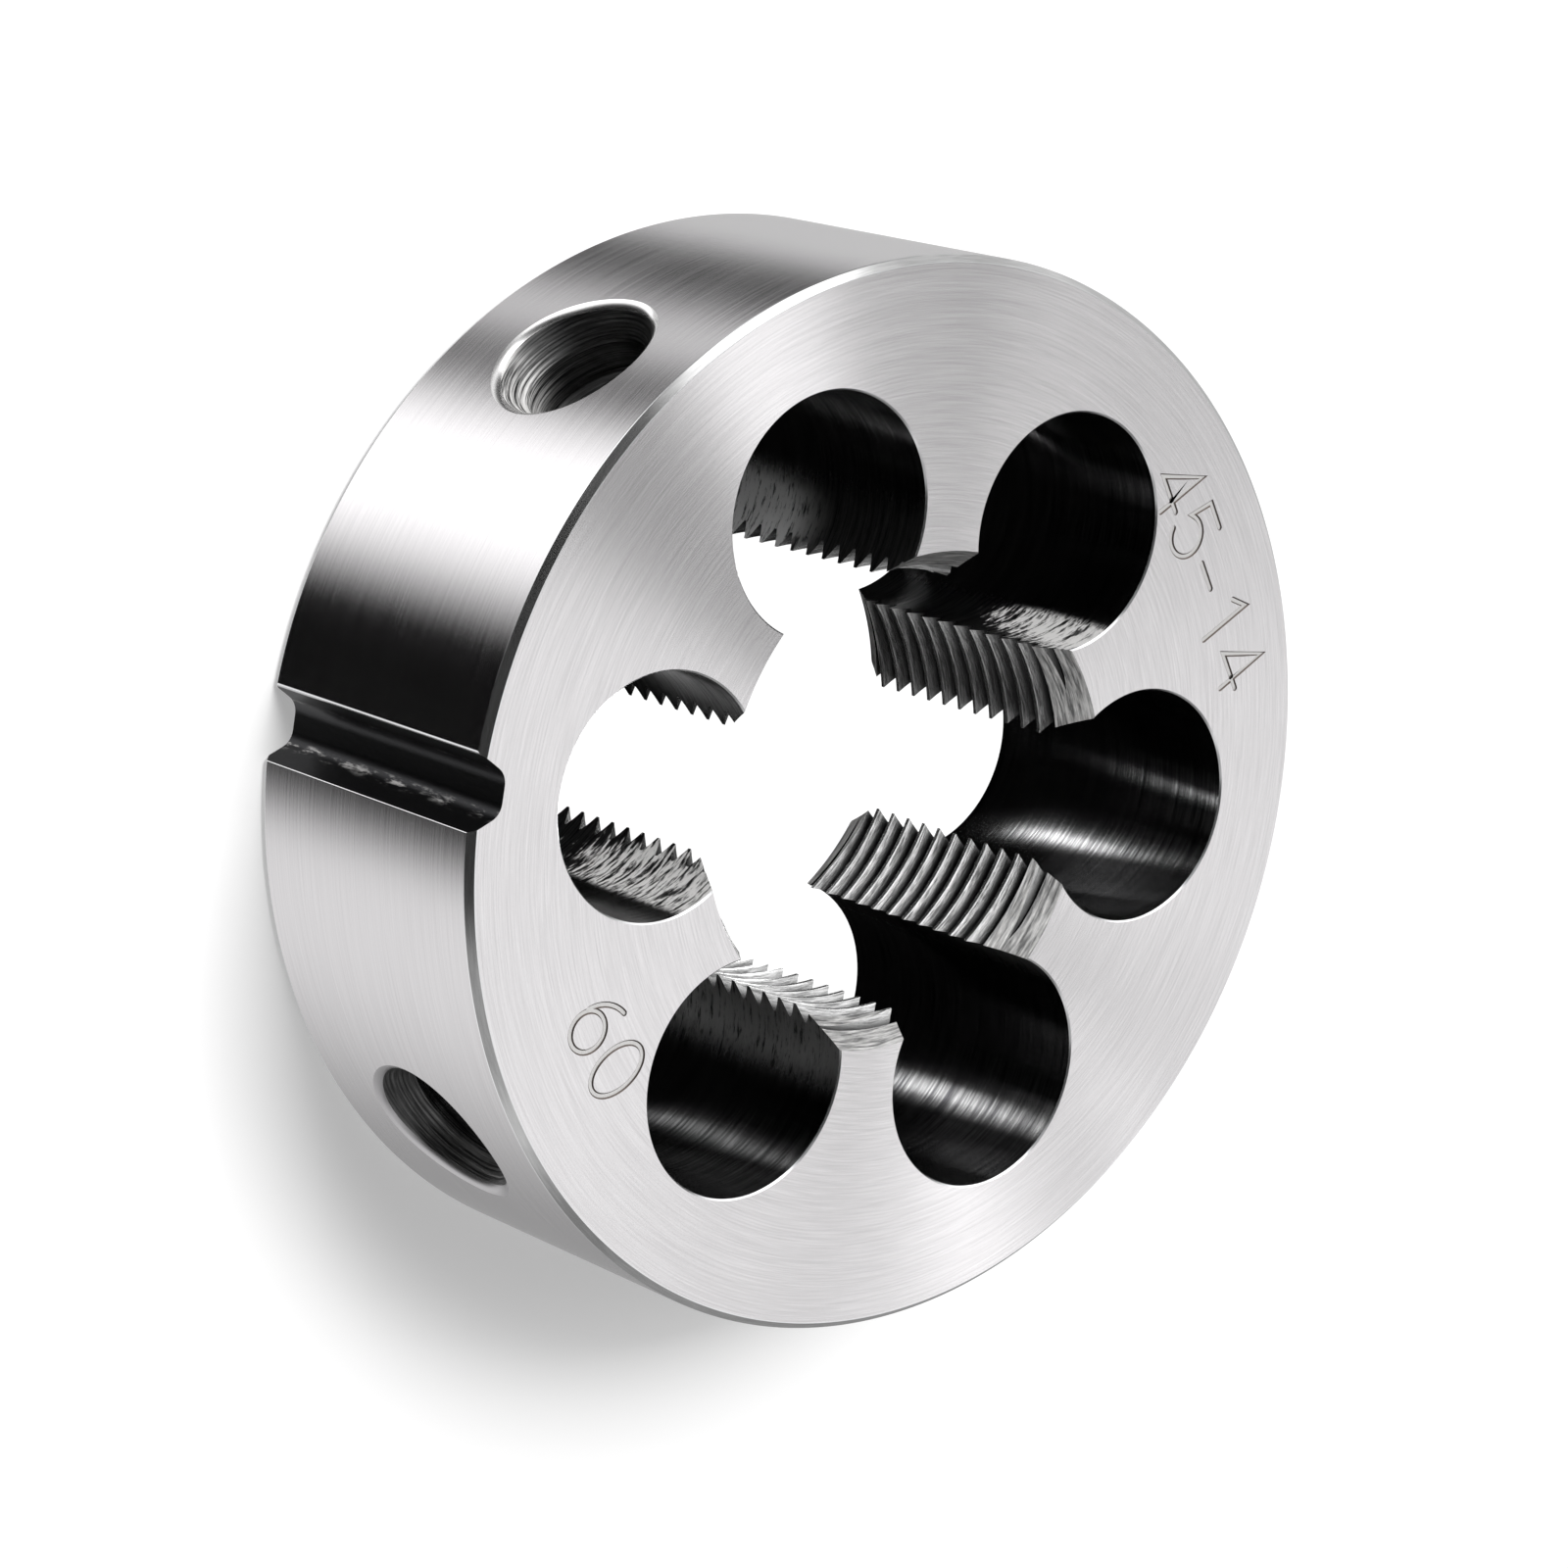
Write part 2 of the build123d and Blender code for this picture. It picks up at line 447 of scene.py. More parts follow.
def thread_tool():
    """The groove that the thread leaves, as a trapezoid swept along a helix in Geometry Nodes."""
    tree = bpy.data.node_groups.new("thread_groove", "GeometryNodeTree")
    face = tree.interface
    names = ["Radius", "Pitch", "Turns", "Start height", "Mouth width", "Root width", "Reach"]
    sockets = {name: face.new_socket(name, in_out="INPUT", socket_type="NodeSocketFloat") for name in names}
    finish = face.new_socket("Finish", in_out="INPUT", socket_type="NodeSocketMaterial")
    face.new_socket("Geometry", in_out="OUTPUT", socket_type="NodeSocketGeometry")
    wire = Wire(tree)
    given = tree.nodes.new("NodeGroupInput")
    named = {socket.name: Wire(tree, socket) for socket in given.outputs if socket.name}
    helix = wire.node("GeometryNodeCurveSpiral", inputs={
        "Resolution": steps_per_turn, "Rotations": named["Turns"], "Start Radius": named["Radius"],
        "End Radius": named["Radius"], "Height": named["Turns"] * named["Pitch"], "Reverse": True})
    upright = wire.node("GeometryNodeSetCurveNormal", {"mode": "Z_UP"}, {"Curve": helix})
    section = wire.node("GeometryNodeCurvePrimitiveQuadrilateral", {"mode": "TRAPEZOID"}, {
        "Bottom Width": named["Mouth width"], "Top Width": named["Root width"],
        "Height": named["Reach"], "Offset": 0.0})
    turned_section = wire.node("GeometryNodeTransform", inputs={
        "Geometry": section, "Rotation": (0, 0, -pi / 2)})
    groove = wire.node("GeometryNodeCurveToMesh", inputs={
        "Curve": upright, "Profile Curve": turned_section, "Fill Caps": True})
    start = wire.node("ShaderNodeCombineXYZ", inputs={"Z": named["Start height"]})
    raised = wire.node("GeometryNodeTransform", inputs={"Geometry": groove, "Translation": start})
    real = wire.node("GeometryNodeRealizeInstances", inputs={"Geometry": raised})
    finished = wire.node("GeometryNodeSetMaterial", inputs={"Geometry": real, "Material": named["Finish"]})
    wire.node("NodeGroupOutput", inputs={"Geometry": finished})
    lead_turns = ceil(runout / thread_pitch) + 1
    open_bore = 0.12
    reach = root_radius - crest_radius + open_bore
    root_width = thread_pitch / 8
    values = {
        sockets["Radius"]: root_radius - reach / 2, sockets["Pitch"]: thread_pitch,
        sockets["Turns"]: thickness / thread_pitch + 2.0 * lead_turns,
        sockets["Start height"]: thread_rise - lead_turns * thread_pitch,
        sockets["Mouth width"]: root_width + 2 * reach * flank_slope,
        sockets["Root width"]: root_width, sockets["Reach"]: reach, finish: tooth.material}
    blank_mesh = bpy.data.meshes.new("thread_groove")
    made = bpy.data.objects.new("thread_groove", blank_mesh)
    bpy.context.scene.collection.objects.link(made)
    return made_real(made, tree, values)


thread = thread_tool()

# At both faces each land is relieved by a tapered tool set off its centre, so that the first
# threads cut little by little and the cutting edge leads the heel.
lead_angle = 30.0
lead_margin = 0.5
lead_relief = 1.0
taper_half_turn = 22.0
taper_steps = 60

lead = Steel("lead_taper", grey(0.6), 0.32, polish=0.2)
drag = ring_lines(lead, lead.z, 7.0, 0.10)
grain = lead.noise(lead.x * 1.2, lead.y * 1.2, lead.z * 11.0, detail=5.0, rough=0.7)
lead.color(lead.tint((drag + grain - 1.0) * 1.8 + 0.36, grey(0.14), (0.92, 0.91, 0.90, 1)))
lead.bump(drag + grain, 0.012)

lead_mouth = root_radius + lead_margin
lead_depth = lead_mouth / tan(radians(lead_angle))
lead_spread = runout * tan(radians(lead_angle))
half_land_turn = 180 / flute_count
lead_sections = turned([(0, thickness - lead_depth), (lead_mouth + lead_spread, thickness + runout),
                        (0, thickness + runout)], taper_steps, -taper_half_turn, 2 * taper_half_turn)
land_turn = Matrix.Rotation(radians(half_land_turn), 4, "Z")
turn_over = Matrix.Translation((0, 0, thickness)) @ Matrix.Rotation(pi, 4, "X")
front_lead = swept("front_leads", lead_sections, False, [lead] * 3)
front_lead.data.transform(land_turn @ Matrix.Translation((0, -lead_relief, 0)))
back_lead = front_lead.copy()
back_lead.data = front_lead.data.copy()
bpy.context.scene.collection.objects.link(back_lead)
back_lead.data.transform(turn_over)

leads = []
for made in (front_lead, back_lead):
    for number in range(flute_count):
        part = made.copy()
        part.data = made.data.copy()
        part.data.transform(Matrix.Rotation(number * flute_turn, 4, "Z"))
        bpy.context.scene.collection.objects.link(part)
        leads.append(part)
    bpy.data.objects.remove(made)

# The holder's middle screw closes on a V groove milled along the rim. It kept the black skin of the
# hardening, its floor has round corners with a few bright rubs and a painted highlight along the lower
# corner, and its mouth is broken by rounds that shine.
groove_angle = 60.0
groove_floor = 1.6
groove_depth = 1.35
groove_corner = 0.8
upper_edge = 0.28
lower_edge = 0.06
floor_half = groove_floor / 2

milled = Steel("milled_groove", grey(0.03), 0.38)
grain = milled.noise(milled.x * 5.0, milled.y * 5.0, milled.z * 1.5, detail=4.0, rough=0.6)
rubs = milled.noise(milled.x * 3.0, milled.y * 4.0, milled.z * 0.9, detail=5.0, rough=0.7)
# Along the lower corner the light streaks are a painted highlight as well as rubs.
lower_corner = 1 - abs(milled.y + floor_half + 0.1).ramp(0.02, 0.26)
upper_corner = 1 - abs(milled.y - floor_half - 0.1).ramp(0.0, 0.10)
rubs_and_highlight = lower_corner * rubs.ramp(0.47, 0.66) + upper_corner * rubs.ramp(0.5, 0.7) * 0.4
rubs_and_highlight = rubs_and_highlight * grain.ramp(0.3, 0.6)
milled.color(milled.tint(rubs_and_highlight, (0.025, 0.025, 0.027, 1), (0.62, 0.61, 0.60, 1)))
milled.roughness(0.34 + rubs_and_highlight * 0.20)
milled.polish(1 - rubs_and_highlight * 0.6)
milled.bump(grain, 0.008)


def rounded(corners, radii, steps):
    """The outline of a section whose corners are rounded. A radius of 0 leaves its corner sharp."""
    outline = []
    count = len(corners)
    for number, radius in enumerate(radii):
        corner = Vector(corners[number])
        back = (Vector(corners[number - 1]) - corner).normalized()
        ahead = (Vector(corners[(number + 1) % count]) - corner).normalized()
        if radius == 0:
            outline.append(tuple(corner))
            continue
        half = back.angle(ahead) / 2
        centre = corner + (back + ahead).normalized() * radius / sin(half)
        first = corner + back * radius / tan(half) - centre
        last = corner + ahead * radius / tan(half) - centre
        for step in range(steps + 1):
            share = step / steps
            turn = first.angle_signed(last) * share
            outline.append(tuple(centre + Matrix.Rotation(-turn, 2) @ first))
    return outline


# Past its mouth the cutter's section rises off the rim at this angle, so that it leaves a clean edge.
lift_off = radians(8)
flare = 2.0
round_steps = 6
groove_wall = tan(radians(groove_angle / 2))
rim_dip = outer_radius - sqrt(outer_radius ** 2 - (floor_half + groove_depth * groove_wall) ** 2)
mouth_half = floor_half + (groove_depth - rim_dip) * groove_wall
rim_slope = tan(acos(sqrt(outer_radius ** 2 - mouth_half ** 2) / outer_radius) - lift_off)
flare_half = mouth_half + flare
flare_dip = rim_dip + flare * rim_slope
groove_section = rounded(
    [(-flare_half, flare_dip), (-mouth_half, rim_dip), (-floor_half, groove_depth),
     (floor_half, groove_depth), (mouth_half, rim_dip), (flare_half, flare_dip),
     (flare_half, -flare), (-flare_half, -flare)],
    [0, lower_edge, groove_corner, groove_corner, upper_edge, 0, 0, 0], round_steps)
groove_finish = [milled] * len(groove_section)
lower_round = 1
upper_round = lower_round + 3 * (round_steps + 1)
for first in (lower_round, upper_round):
    groove_finish[first:first + round_steps] = [bright_edge] * round_steps
groove_sections = [[(depth - outer_radius, across, height) for across, depth in groove_section]
                   for height in (-runout, thickness + runout)]
groove = swept("clamping_groove", groove_sections, False, groove_finish)

# Two dimples in the rim take the holder's side screws. They are drilled and then countersunk, and
# the countersink's chatter leaves rings in the cone.
dimple_mouth = 3.6
dimple_wall = tan(radians(35))
dimple_bore = 2.6
dimple_straight = 1.6
drill_slope = 1 / tan(radians(70))
dimple_edge = 0.65
dimple_steps = 96
ring_depth = 0.012
ring_count = 16
dimple_flare = 3.0
open_above = 4.0
# The lips are one bright steel in two copies: the first dimple's is painted lit, the second's is painted dim.
lit_lip = Steel("lit_lip", (0.95, 0.94, 0.94, 1), 0.26)
dim_lip = Steel("dim_lip", (0.52, 0.51, 0.52, 1), 0.34)

# Each dimple's turn round the die, how much painted light its one side takes, and its lip.
dimple_kinds = ((132.8, 1.0, lit_lip), (223.4, 0.15, dim_lip))


def bored_steel(name, turn, painted_light_share):
    """The steel of one dimple, with the rings that its tools left round an axis at that turn, and painted
    light on one side near the mouth.
    """
    steel = Steel(name, grey(0.16), 0.34)
    along = steel.x * cos(turn) + steel.y * sin(turn)
    across = steel.y * cos(turn) - steel.x * sin(turn)
    high = steel.z - thickness / 2
    rings = steel.noise(across * 0.25, high * 0.25, along * 12.0, detail=4.0, rough=0.65)
    drag = steel.noise(across * 0.9, high * 0.9, along * 4.0, detail=3.0)
    # One side near the mouth is painted bright as lit steel, and the rest keeps the dark rings.
    painted_lit_side = (across + high * 0.4 + (rings - 0.5) * 3.0).ramp(-1.7, 1.8)
    painted_light = painted_lit_side * along.ramp(18.5, 20.5) * painted_light_share
    dark_rings = steel.tint(rings.contrast(2.6, 0.35), grey(0.02), grey(0.20))
    steel.color(steel.tint(painted_light * rings.ramp(0.38, 0.56), dark_rings, (0.88, 0.87, 0.86, 1)))
    steel.polish(1 - painted_light * 0.7)
    steel.roughness(0.26 + drag * 0.2)
    steel.bump(rings, 0.025)
    return steel


def dimple_section(turn, seed):
    """The dimple's outline in the half plane at one turn round its axis, from the open air down to
    the drill's point, as (radius, depth below the top of the rim)."""
    across = cos(turn)
    depth = 0.0
    for _ in range(12):  # each pass comes nearer to where the cone meets the round rim
        mouth = dimple_mouth - depth * dimple_wall
        depth = outer_radius - sqrt(outer_radius ** 2 - (mouth * across) ** 2)
    slope = mouth * across ** 2 / sqrt(outer_radius ** 2 - (mouth * across) ** 2)
    surface = atan2(slope, 1.0) - lift_off
    steep = atan2(1.0, -dimple_wall)
    corner = Vector((mouth, depth))
    out = Vector((cos(surface), sin(surface)))
    inward = Vector((cos(steep), sin(steep)))
    half = out.angle(inward) / 2
    centre = corner + (out + inward).normalized() * dimple_edge / sin(half)
    first = corner + out * dimple_edge / tan(half) - centre
    sweep = first.angle_signed(corner + inward * dimple_edge / tan(half) - centre)
    rim_end = corner + out * dimple_flare
    points = [rim_end + Vector((0, -open_above)), rim_end]
    for step in range(round_steps + 1):
        points.append(centre + Matrix.Rotation(-sweep * step / round_steps, 2) @ first)
    cone_start = points[-1].y
    cone_end = (dimple_mouth - dimple_bore) / dimple_wall
    chatter = np.random.default_rng(seed).uniform(-1, 1, ring_count)
    for number, swing in enumerate(chatter):
        level = cone_start + (cone_end - cone_start) * (number + 1) / (ring_count + 1)
        swing = ring_depth * swing
        points.append(Vector((dimple_mouth - level * dimple_wall - swing * 0.87, level + swing * 0.5)))
    floor_depth = cone_end + dimple_straight
    points.append(Vector((dimple_bore, cone_end)))
    points.append(Vector((dimple_bore, floor_depth)))
    points.append(Vector((0.0, floor_depth + dimple_bore * drill_slope)))
    points.append(Vector((0.0, -open_above)))
    return points


dimples = []
for number, (dimple_turn, painted_light_share, lip) in enumerate(dimple_kinds, 1):
    sections = []
    for step in range(dimple_steps):
        turn = 2 * pi * step / dimple_steps
        sections.append([(outer_radius - point.y, point.x * cos(turn), point.x * sin(turn) + thickness / 2)
                         for point in dimple_section(turn, number)])
    bored = bored_steel("bored_dimple_%d" % number, radians(dimple_turn), painted_light_share)
    finish = [bored] * len(sections[0])
    finish[1:round_steps + 2] = [lip] * (round_steps + 1)
    made = swept("dimple_%d" % number, sections, True, finish)
    made.data.transform(Matrix.Rotation(radians(dimple_turn), 4, "Z"))
    dimples.append(made)

# The size is engraved on the lead-in face with a fine round-nosed cutter, and the walls of the strokes are
# coloured a dark brown. Plain numbers stand there: the diameter and thickness in millimetres, and the
# thread's angle.
engraved_floor = Steel("engraved_floor", (0.74, 0.73, 0.72, 1), 0.40)
engraved_wall = Steel("engraved_wall", (0.12, 0.10, 0.09, 1), 0.45)
digit_height = 2.75
digit_spacing = 2.3
digit_middle = (0.34, 0.5)
stroke_half = 0.13
stroke_floor = 0.075
stroke_depth = 0.05
stroke_above = 0.05
sharpest_turn = 0.45
baseline_turn = radians(-54)


def bow(centre, size, start, end):
    """Points on an upright oval from one angle to another, in degrees."""
    count = max(8, int(abs(end - start) / 6))
    turns = [radians(start + (end - start) * step / count) for step in range(count + 1)]
    return [(centre[0] + size[0] * cos(turn), centre[1] + size[1] * sin(turn)) for turn in turns]


# The strokes of each digit, on a field as high as 1.
digits = {
    "4": [[(0.50, 0.0), (0.50, 1.0), (0.02, 0.28), (0.46, 0.28)], [(0.54, 0.28), (0.68, 0.28)]],
    "5": [[(0.60, 1.0), (0.14, 1.0), (0.08, 0.56)] + bow((0.32, 0.33), (0.32, 0.33), 122, -145)],
    "-": [[(0.08, 0.45), (0.56, 0.45)]],
    "1": [[(0.16, 0.80), (0.40, 1.0), (0.40, 0.0)]],
    "6": [bow((0.34, 0.32), (0.30, 0.32), 180, 540),
          bow((0.64, 0.36), (0.60, 0.64), 104, 168)],
    "0": [bow((0.34, 0.50), (0.32, 0.50), 90, 450)],
}


def stroke_sections(path, closes):
    """The engraving cutter's section at each point of a stroke, drawn in to a round at open ends."""
    stops = [Vector(point) for point in path]
    if closes:
        stops = stops[:-1]
    count = len(stops)
    stations = []
    for number, stop in enumerate(stops):
        back = (stop - stops[number - 1]).normalized() if number or closes else None
        ahead = (stops[(number + 1) % count] - stop).normalized() if number < count - 1 or closes else None
        along = ((back or ahead) + (ahead or back)).normalized()
        side = Vector((-along.y, along.x))
        reach = 1 / max(sharpest_turn, side.dot(Vector((-(ahead or back).y, (ahead or back).x))))
        stations.append((stop, side * reach, 1.0))
    if not closes:
        first = (stops[0] - stops[1]).normalized()
        last = (stops[-1] - stops[-2]).normalized()
        for angle in (30, 60, 80):
            out = stroke_half * sin(radians(angle))
            stations.insert(0, (stops[0] + first * out, stations[0][1], cos(radians(angle))))
            stations.append((stops[-1] + last * out, stations[-1][1], cos(radians(angle))))
    wall_grade = (stroke_half - stroke_floor) / stroke_depth
    top = stroke_half + wall_grade * stroke_above
    profile = ((-top, stroke_above), (-stroke_floor, -stroke_depth),
               (stroke_floor, -stroke_depth), (top, stroke_above))
    sections = []
    for stop, side, width in stations:
        section = []
        for across, height in profile:
            place = stop + side * across * width
            section.append((place.x, place.y, height))
        sections.append(section)
    return sections


def engrave(line, centre):
    """A cutter for each stroke of a line of digits."""
    cutters = []
    place = (Matrix.Translation((centre[0], centre[1], thickness))
             @ Matrix.Rotation(baseline_turn, 4, "Z"))
    for number, digit in enumerate(line):
        shift = (number - (len(line) - 1) / 2) * digit_spacing
        for stroke in digits[digit]:
            path = [((x - digit_middle[0]) * digit_height + shift, (y - digit_middle[1]) * digit_height)
                    for x, y in stroke]
            closes = hypot(path[0][0] - path[-1][0], path[0][1] - path[-1][1]) < 1e-6
            finishes = [engraved_wall, engraved_floor, engraved_wall, engraved_wall]
            made = swept("stroke", stroke_sections(path, closes), closes, finishes)
            made.data.transform(place)
            cutters.append(made)
    return cutters


engraving = engrave("45-14", (15.40, 10.13)) + engrave("60", (-14.20, -10.05))

# Every tool takes its cut from the blank in turn, and the die that is left is one mesh. It keeps
# the shading of the tool that made each wall, and stands for the CAD die.
die = swept("die_body", turned(blank_outline, turning_steps), True,
            [ground_face, bright_edge, turned_edge, bright_edge, ground_rim,
             bright_edge, turned_edge, bright_edge, ground_face, tooth])
keep_shading(die, 1.0)
tools = [flutes, thread, *leads, groove, *dimples, *engraving]
for tool in tools:
    keep_shading(tool, -1.0)
for tool in tools:
    cut = die.modifiers.new(tool.name, "BOOLEAN")
    cut.operation = "DIFFERENCE"
    cut.solver = "MANIFOLD"
    cut.material_mode = "TRANSFER"
    cut.object = tool
shown = bpy.context.evaluated_depsgraph_get()
cut_mesh = bpy.data.meshes.new_from_object(die.evaluated_get(shown))
bpy.data.objects.remove(die)
for tool in tools:
    bpy.data.objects.remove(tool)
normals = np.zeros(len(cut_mesh.loops) * 3, np.float32)
cut_mesh.attributes["shading"].data.foreach_get("vector", normals)
cut_mesh.attributes.remove(cut_mesh.attributes["shading"])
cut_mesh.transform(Matrix.Scale(mm, 4))
cut_mesh.polygons.foreach_set("use_smooth", [True] * len(cut_mesh.polygons))
cut_mesh.normals_split_custom_set(normals.reshape(-1, 3))
cut_mesh.name = "cut_die"
cut_die = bpy.data.objects.new("cut_die", cut_mesh)
bpy.context.scene.collection.objects.link(cut_die)

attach(cut_die, "root")
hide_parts("threading_die")

# The camera looks down on the die from the photograph's side, turned about its own line of sight
# so that the die leans in the frame as it does there.
sight_turn = radians(-12.453)
sight_dip = radians(47.280)
sight_roll = radians(107.884)
aim = Vector((-0.708, -0.745, 7.0)) * mm
distance = 201.226 * mm
sight = Vector((cos(sight_dip) * cos(sight_turn), cos(sight_dip) * sin(sight_turn), -sin(sight_dip)))
level = sight.cross(Vector((0, 0, 1))).normalized()
rise = level.cross(sight)
right = level * cos(sight_roll) + rise * sin(sight_roll)
up = right.cross(sight)
lens = bpy.data.cameras.new("camera")
lens.lens = 109.95
lens.sensor_width = 36
lens.clip_start = 0.01
lens.clip_end = 20
camera = bpy.data.objects.new("camera", lens)
bpy.context.scene.collection.objects.link(camera)
placing = Matrix((right, up, -sight)).transposed().to_4x4()
placing.translation = aim - sight * distance
camera.matrix_world = placing
bpy.context.scene.camera = camera

# The die lies on a wide sheet of white card. The camera sees the card as white, shaded by the die near its
# foot, and the metal sees the studio round it. The card glows fully in the bore, as painted light over the
# die's shade there, and glows less near the foot, as painted shade that deepens the shadow there.
floor_radius = 1.5
floor_sides = 96
bore_clear = 18.45 * mm
foot_start = 23.0 * mm
foot_end = 36.0 * mm
floor_turns = [2 * pi * n / floor_sides for n in range(floor_sides)]
floor_corners = [(floor_radius * cos(turn), floor_radius * sin(turn), 0) for turn in floor_turns]
card = bpy.data.meshes.new("floor")
card.from_pydata(floor_corners, [], [tuple(range(floor_sides))])
floor = bpy.data.objects.new("floor", card)
bpy.context.scene.collection.objects.link(floor)
floor.visible_glossy = False
paper = bpy.data.materials.new("white_card")
paper.use_nodes = True
card.materials.append(paper)
wire = Wire(paper.node_tree)
diffuse = first_node(paper.node_tree, "BSDF_PRINCIPLED")
diffuse.inputs["Base Color"].default_value = grey(0.9)
diffuse.inputs["Roughness"].default_value = 0.9
diffuse.inputs["Specular IOR Level"].default_value = 0.0
rays = paper.node_tree.nodes.new("ShaderNodeLightPath")
camera_ray, glossy_ray, clear_ray = [
    Wire(paper.node_tree, rays.outputs[name])
    for name in ("Is Camera Ray", "Is Glossy Ray", "Is Transmission Ray")]
place = wire.node("ShaderNodeTexCoord", output="Object")
reach = wire.node("ShaderNodeVectorMath", {"operation": "LENGTH"}, {0: place}, output="Value")
# Painted light and shade: full glow in the bore where the die's shade falls, and less glow near the foot so
# that the shadow there is deeper.
in_bore = 1 - reach.ramp(bore_clear, bore_clear + 0.001)
whiteness = 0.30 + reach.ramp(foot_start, foot_end) * 0.40 + in_bore * 0.70
glow = wire.node("ShaderNodeEmission", inputs={"Color": grey(1), "Strength": 1.12})
mixed = wire.node("ShaderNodeMixShader", inputs={
    0: (camera_ray + glossy_ray + clear_ray) * whiteness,
    1: Wire(paper.node_tree, diffuse.outputs[0]),
    2: glow})
wire.feed(first_node(paper.node_tree, "OUTPUT_MATERIAL").inputs["Surface"], mixed)

# The studio is plain and white, with soft dark and bright cards in it, because ground steel shows
# its shape only by what it mirrors. The rim mirrors the cards that stand low, and the brushed face
# draws the cards overhead out into fans.
world = bpy.data.worlds.new("studio")
world.use_nodes = True
world.cycles.sampling_method = "NONE"
bpy.context.scene.world = world
sky = Wire(world.node_tree)
east, north, height = sky.node("ShaderNodeTexCoord", output="Generated").parts()
bearing = sky.sum("ARCTAN2", north, east) * (180 / pi)
fan_radius = 20.0
round_reach = 0.35


def studio_card(turn, middle, half_width, soft):
    """1 on a card at one turn, in degrees, and 0 off it."""
    away = sky.node("ShaderNodeMath", {"operation": "WRAP"}, {0: turn - middle, 1: 180.0, 2: -180.0})
    return 1 - abs(away).ramp(half_width - soft, half_width + soft)


def fan_card(middle, half_width, soft):
    """1 on an overhead card that the brushed face shows as a fan at one turn round the bore. Such a
    card is a spoke round its hub, the spot of the studio that the face mirrors to the camera."""
    ring = Vector((cos(radians(middle)), sin(radians(middle)), 0)) * fan_radius * mm
    ring.z = thickness * mm
    hub = -camera.location / (camera.location - ring).length
    spoke = sky.sum("ARCTAN2", north - hub.y, east - hub.x) * (180 / pi)
    out = ((north - hub.y) ** 2 + (east - hub.x) ** 2).root()
    return studio_card(spoke, middle, half_width, soft) * (1 - out.ramp(0.55, 0.80))


def round_card(turn, lift):
    """1 on a round card at one bearing and elevation, in degrees, and 0 off it."""
    x = cos(radians(turn)) * cos(radians(lift))
    y = sin(radians(turn)) * cos(radians(lift))
    out = ((north - y) ** 2 + (east - x) ** 2).root()
    return 1 - out.ramp(round_reach * 0.5, round_reach)


# Low cards and fans: middle, half width and soft edge in degrees, and the light they add.
low_cards = ((183.5, 28, 9, -0.995), (5, 30, 14, -0.30), (59, 14, 8, -0.98),
             (99, 9, 6, -0.90), (310, 40, 35, -0.62), (130, 14, 10, 0.8))
fans = ((75, 36, 20, -0.42), (101, 12, 5, -0.70), (121.5, 8.5, 3, 0.80), (143.5, 8.5, 6.5, -1.30),
        (291, 5, 4, 0.62), (309, 5, 5, -0.15), (318, 5, 4, 0.45), (334, 8, 6, -0.28))

# Dark screens, for the walls that face the camera: middle, half width, soft edge, the heights
# between which the top ends, and the share of the light that each takes.
screens = ((176, 43, 7, 0.75, 0.92, 0.97), (128, 20, 6, 0.66, 0.78, 0.95),
           (230, 18, 8, 0.60, 0.70, 0.5), (290, 30, 12, 0.45, 0.60, 0.8))

# Round cards that light the flanks of the teeth: bearing, elevation and light.
round_cards = ((116, 68, 0.8), (40, 29, 1.2), (84, 27, 1.5))

low_light = 1.0
for middle, half_width, soft, added in low_cards:
    low_light = low_light + studio_card(bearing, middle, half_width, soft) * added
high_light = 1.0
for middle, half_width, soft, added in fans:
    high_light = high_light + fan_card(middle, half_width, soft) * added
for middle, half_width, soft, start, end, share in screens:
    screen = studio_card(bearing, middle, half_width, soft) * (1 - height.ramp(start, end))
    high_light = high_light * (1 - screen * share)

# One more dark card hangs high, and ends below.
canopy = studio_card(bearing, 255, 25, 10) * height.ramp(0.55, 0.70)
high_light = high_light * (1 - canopy * 0.97)
for turn, lift, added in round_cards:
    high_light = high_light + round_card(turn, lift) * added
overhead = height.ramp(0.0, 0.25)
light = low_light * (1 - overhead) + high_light * overhead
light = sky.sum("MAXIMUM", light, 0.005)

# Only the metal mirrors the cards. All else is lit by an even, dim room.
mirrored = sky.node("ShaderNodeLightPath", output="Is Glossy Ray")
light = light * mirrored + 0.16 * (1 - mirrored)
background = first_node(world.node_tree, "BACKGROUND")
background.inputs["Color"].default_value = grey(1)
sky.feed(background.inputs["Strength"], light)


def glowing(name, strength):
    """A material that only shines."""
    made = bpy.data.materials.new(name)
    made.use_nodes = True
    made.cycles.emission_sampling = "NONE"
    shader = first_node(made.node_tree, "BSDF_PRINCIPLED")
    shader.inputs["Base Color"].default_value = grey(0)
    shader.inputs["Specular IOR Level"].default_value = 0.0
    shader.inputs["Emission Color"].default_value = grey(1)
    shader.inputs["Emission Strength"].default_value = strength
    return made


def only_mirrored(name, points, faces, finish):
    """A flat card that the metal mirrors and nothing else sees. Its points are in millimetres."""
    mesh = bpy.data.meshes.new(name)
    mesh.from_pydata([Vector(point) * mm for point in points], [], faces)
    mesh.materials.append(finish)
    made = bpy.data.objects.new(name, mesh)
    bpy.context.scene.collection.objects.link(made)
    made.visible_camera = False
    made.visible_diffuse = False
    made.visible_shadow = False
    return made


# The walls of the flutes mirror what lies under the die: a black card with a grey middle, which stands in for
# the die's shade on the floor below, and one bright wedge to a flute, which its round wall shows as an even
# band. A blind in the bore keeps the wedges off the teeth.
card_depth = -0.5
middle_depth = -0.45
wedge_depth = -0.4
disc_sides = 96


def disc(radius, depth):
    """The corners of a flat disc under the die."""
    turns = [2 * pi * n / disc_sides for n in range(disc_sides)]
    return [(radius * cos(turn), radius * sin(turn), depth) for turn in turns]


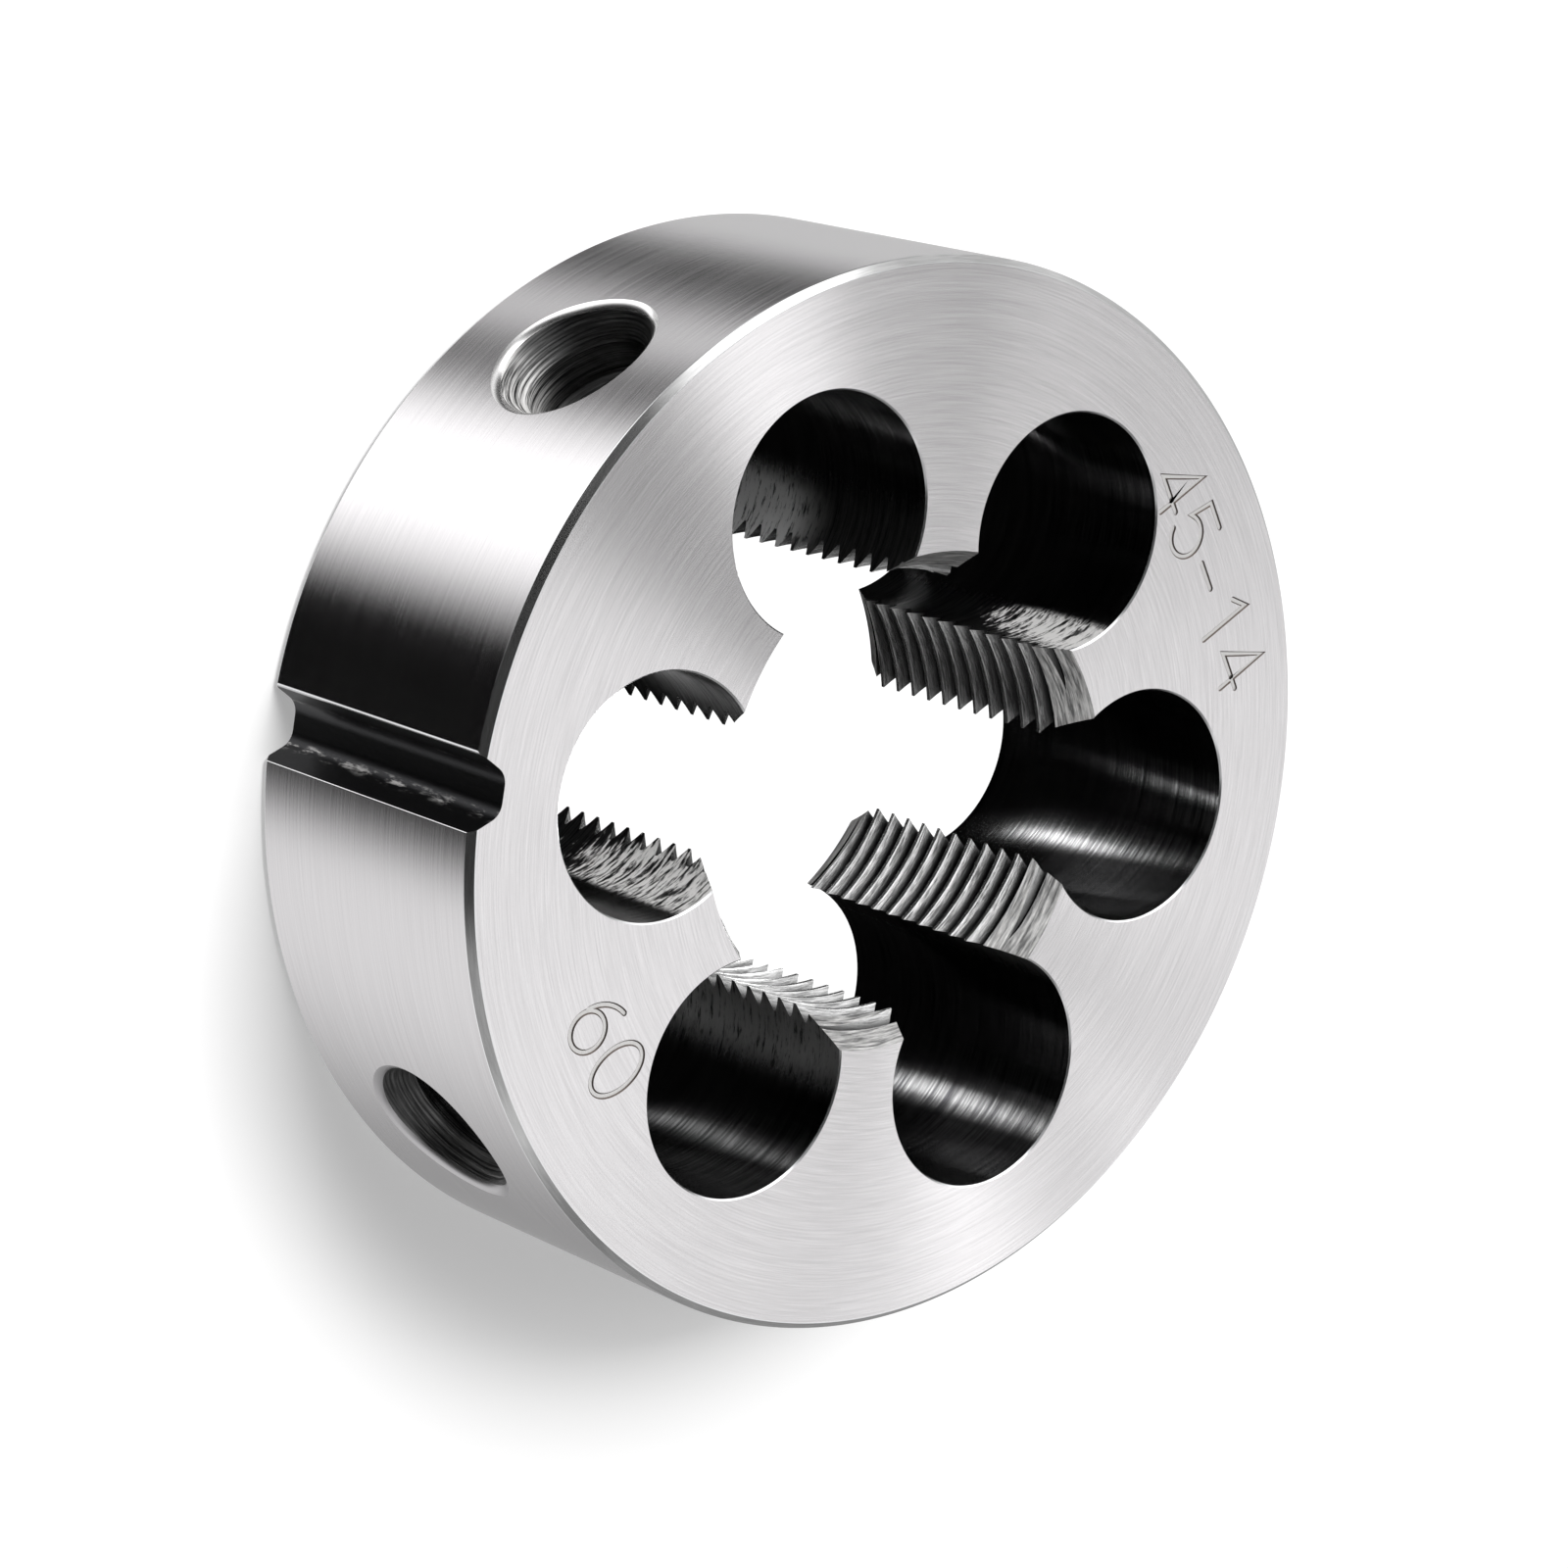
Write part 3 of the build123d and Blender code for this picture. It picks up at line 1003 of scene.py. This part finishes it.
whole = [tuple(range(disc_sides))]
only_mirrored("black_card", disc(20.0, card_depth), whole, glowing("black_card", 0.01))
only_mirrored("white_card", disc(4.5, middle_depth), whole, glowing("white_middle", 0.12))

# A band is where the flute's wall faces one way. It has the flute's turn, the turn that the wall
# faces, half the band's width, all in degrees, and its share of the light. The camera sees there what
# lies at twice that turn and mirror_turn more. The stations of a wedge are its distance from the wall
# and its light.
bands = ((0, 140, 5.5, 1.6), (240, 134, 6, 0.4), (300, 148, 8, 1.0))
stations = ((3.0, 0.0), (5.0, 0.9), (13.6, 1.0))
mirror_turn = 192
points = []
faces = []
shares = []
for flute, facing, half_width, share in bands:
    band_bearing = radians(2 * facing + mirror_turn)
    turn = radians(flute)
    foot = Vector((flute_centre * cos(turn) - flute_radius * cos(radians(facing)),
                   flute_centre * sin(turn) - flute_radius * sin(radians(facing))))
    along = Vector((cos(band_bearing), sin(band_bearing)))
    side = Vector((-along.y, along.x))
    first = len(points)
    for run, lit in stations:
        half = radians(half_width) * abs(2 * run - flute_radius)
        for sense in (-1, 0, 1):
            stop = foot + along * run + side * half * sense
            points.append((stop.x, stop.y, wedge_depth))
            shares.append(share * lit * (1 - abs(sense)))
    for row in range(len(stations) - 1):
        for corner in (first + 3 * row, first + 3 * row + 1):
            faces.append((corner, corner + 1, corner + 4, corner + 3))
wedge_light = glowing("white_wedge", 11.0)
wire = Wire(wedge_light.node_tree)
soft = wire.node("ShaderNodeAttribute", {"attribute_name": "glow"}, output="Fac") ** 1.5
shine = wire.node("ShaderNodeCombineColor", inputs={"Red": soft, "Green": soft, "Blue": soft})
wire.feed(first_node(wedge_light.node_tree, "BSDF_PRINCIPLED").inputs["Emission Color"], shine)
wedges = only_mirrored("wedges", points, faces, wedge_light)
wedges.data.attributes.new("glow", "FLOAT", "POINT").data.foreach_set("value", shares)

blind = [(2.5, -1.0, -0.4), (9.0, -1.0, -0.4), (9.0, -1.0, 9.0), (2.5, -1.0, 9.0)]
only_mirrored("bore_card", blind, [(0, 1, 2, 3)], glowing("black_blind", 0.01))

# One soft lamp stands high beside the die. It gives the floor its shadow and the rough steel of the
# teeth and tapers its light, and no metal mirrors it.
lamp_bearing = radians(97)
lamp_lift = radians(59)
lamp_distance = 0.6
lamp_width = 0.28
lamp_light = 20.0
lamp = bpy.data.lights.new("key", "AREA")
lamp.shape = "RECTANGLE"
lamp.size = lamp_width
lamp.size_y = lamp_width
lamp.energy = lamp_light * lamp_width * lamp_width * pi
key = bpy.data.objects.new("key", lamp)
bpy.context.scene.collection.objects.link(key)
toward = Vector((cos(lamp_bearing) * cos(lamp_lift), sin(lamp_bearing) * cos(lamp_lift), sin(lamp_lift)))
key.location = toward * lamp_distance
key.rotation_euler = toward.to_track_quat("Z", "Y").to_euler()
key.visible_glossy = False

bpy.context.scene.view_settings.view_transform = "Standard"
